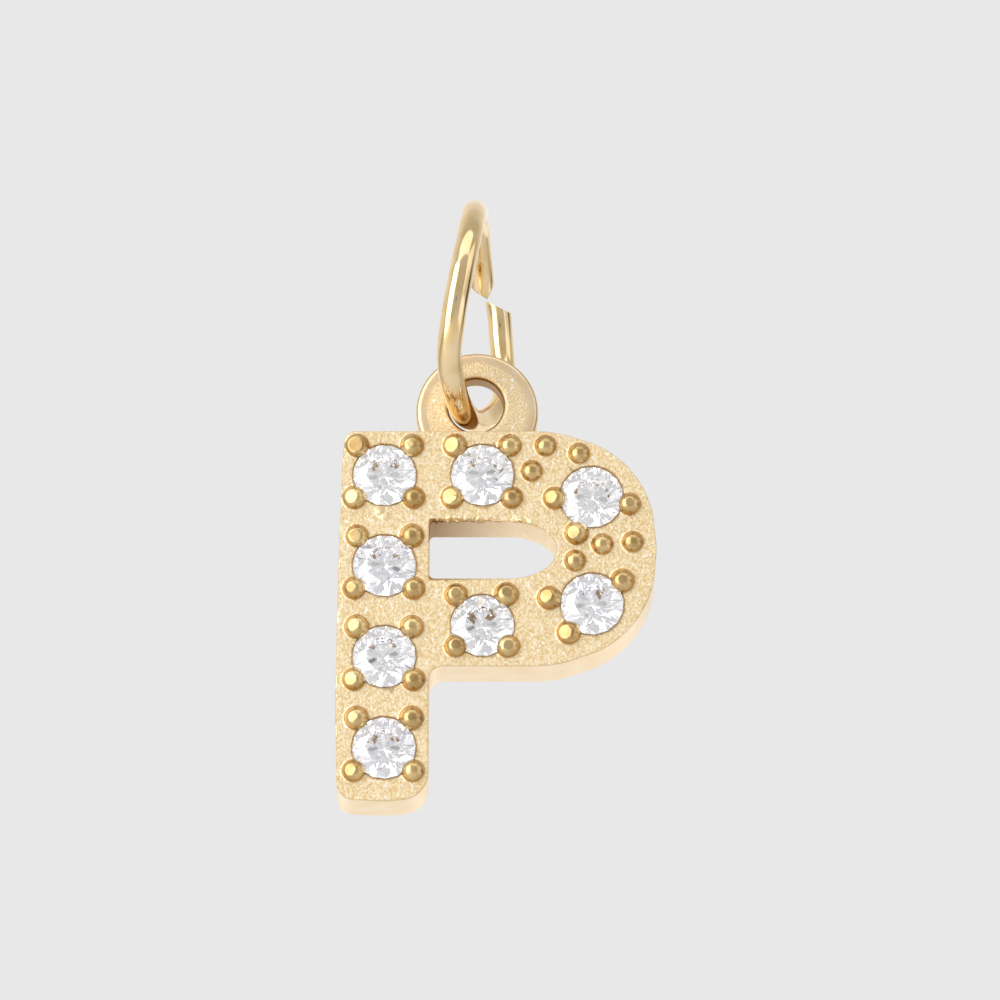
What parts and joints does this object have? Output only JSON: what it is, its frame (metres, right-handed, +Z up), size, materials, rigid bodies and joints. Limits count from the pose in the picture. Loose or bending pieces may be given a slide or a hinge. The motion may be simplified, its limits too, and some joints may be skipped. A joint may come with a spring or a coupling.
{
  "type": "initial pendant",
  "caption": "Letter P pendant cast in gold-plated metal, set with round clear stones between bead prongs, with an eye on its top edge and an open jump ring through it.",
  "frame": {"origin": "inside of the jump ring's top, where the chain that carries the pendant bears on the wire", "axes": "+Z up along the hanging letter's stem, -Y out of the letter's stone-set face, +X from the stem towards the bowl"},
  "size_m": [0.0076, 0.0055, 0.0149],
  "materials": {
    "cast_gold_plate": "satin",
    "ring_gold_plate": "polished",
    "clear_stone": "polished"
  },
  "bodies": {
    "ring": {"jump_ring": "ring_gold_plate"},
    "letter": {"letter": "cast_gold_plate", "stem_stone_1": "clear_stone", "stem_stone_2": "clear_stone", "stem_stone_3": "clear_stone", "stem_stone_4": "clear_stone", "arm_stone_upper": "clear_stone", "arm_stone_lower": "clear_stone", "bowl_stone_upper": "clear_stone", "bowl_stone_lower": "clear_stone"}
  },
  "joints": [
    {"name": "letter_sway", "type": "hinge", "parent": "ring", "child": "letter", "pos_m": [-0.00009, 0.00027, -0.00451], "axis": [0, 1, 0], "range_deg": [-90, 90]}
  ]
}
